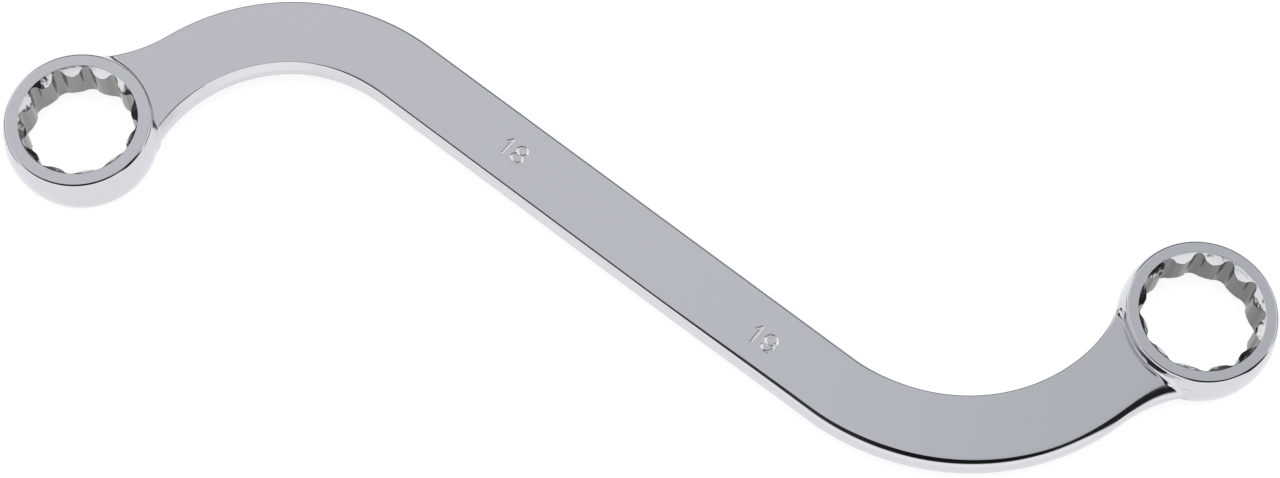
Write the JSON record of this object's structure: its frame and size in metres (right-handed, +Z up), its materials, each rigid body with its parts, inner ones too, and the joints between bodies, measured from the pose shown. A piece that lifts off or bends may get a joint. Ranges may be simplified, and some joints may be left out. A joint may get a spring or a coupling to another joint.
{
  "type": "s-shaped box wrench",
  "caption": "Flat S-shaped chromed box wrench with a twelve-point ring at each end, curved to reach nuts behind an obstruction.",
  "frame": {"origin": "below the middle of the wrench's outline, on the surface that it lies on", "axes": "+X from the 18 mm ring's centre to the 19 mm ring's, +Z up out of the upper faces, square to the flat of the wrench"},
  "size_m": [0.2332, 0.069, 0.0097],
  "materials": {
    "polished_chrome": "polished chrome plate over forged steel, with satin broached sockets"
  },
  "bodies": {
    "root": {"box_end_18mm": "polished_chrome", "bend_18mm": "polished_chrome", "grip_bar": "polished_chrome", "bend_19mm": "polished_chrome", "box_end_19mm": "polished_chrome"}
  },
  "joints": []
}
